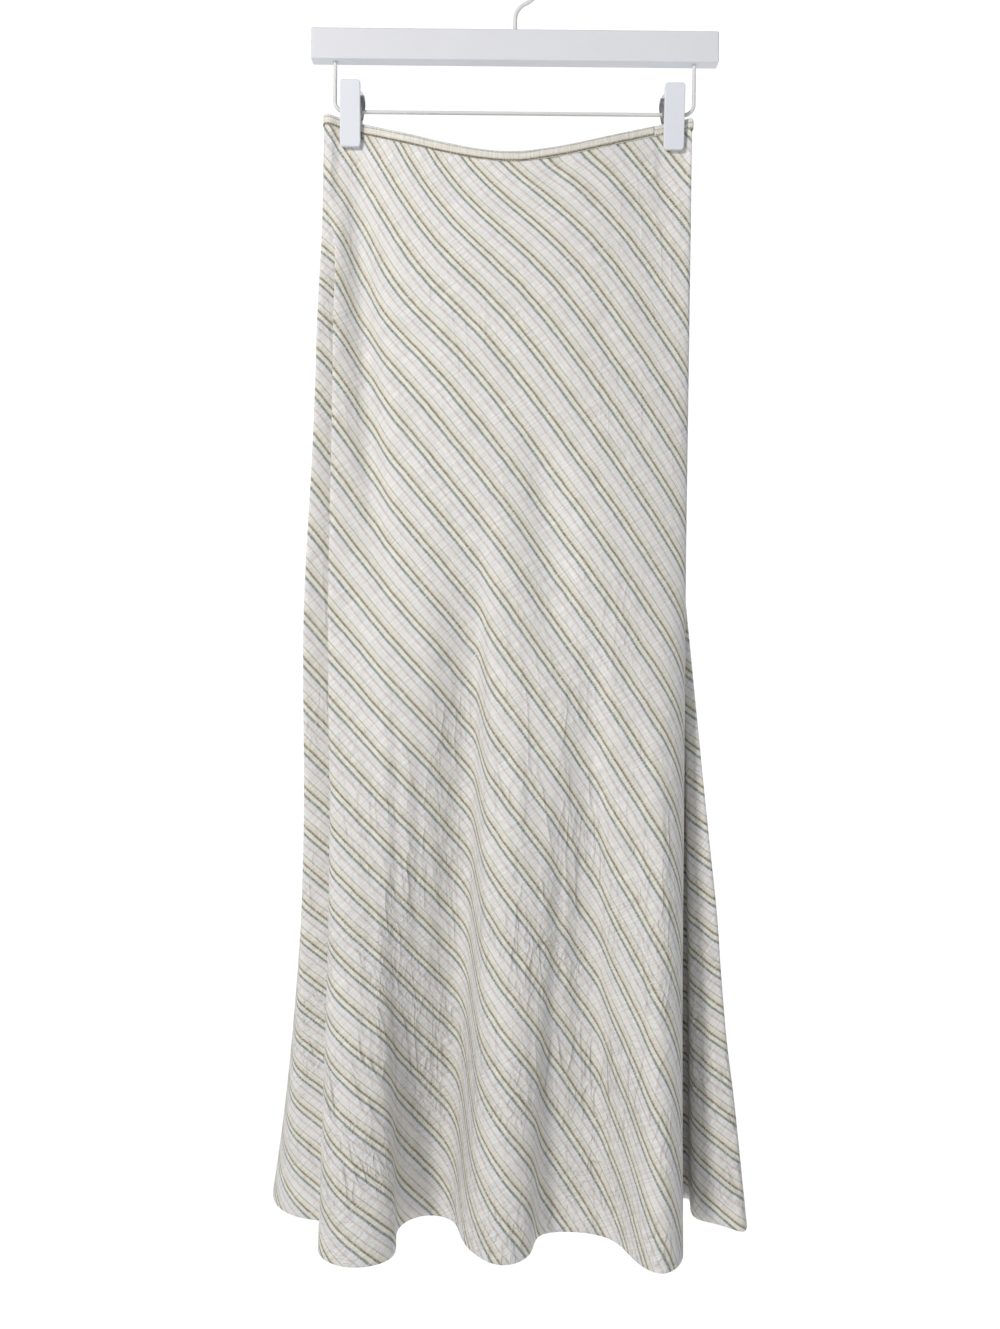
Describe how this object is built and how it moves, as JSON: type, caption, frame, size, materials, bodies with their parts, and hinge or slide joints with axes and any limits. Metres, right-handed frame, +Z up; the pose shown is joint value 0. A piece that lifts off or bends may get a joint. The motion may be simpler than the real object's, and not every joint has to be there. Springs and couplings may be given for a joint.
{
  "type": "maxi skirt on a clip hanger",
  "caption": "Bias-cut flared maxi skirt of striped cotton with a narrow bound waist, hung open by its waist from a flat-bar clip hanger.",
  "frame": {"origin": "inner crown of the hanger's hook, where the rail that carries it lies", "axes": "+Z up along the skirt's length, +X to the hanger's right as seen from the front, +Y towards the back"},
  "size_m": [0.4264, 0.1742, 1.0998],
  "materials": {
    "cloth": "plain-woven light cotton with diagonal stripes of green-grey, khaki, tan, rose-beige and white",
    "binding": "the same cotton, its stripes along the strip",
    "bar": "white paint, satin",
    "clip": "white, satin",
    "wire": "white coating",
    "spring": "dull grey"
  },
  "bodies": {
    "root": {"front_panel": "cloth", "back_panel": "cloth", "waist_binding": "binding", "hanger_bar": "bar", "hanger_hook": "wire", "hanger_drop_wire": "wire", "clip_left_front": "clip", "clip_left_back": "clip", "clip_left_spring": "spring", "clip_right_front": "clip", "clip_right_back": "clip", "clip_right_spring": "spring"}
  },
  "joints": []
}
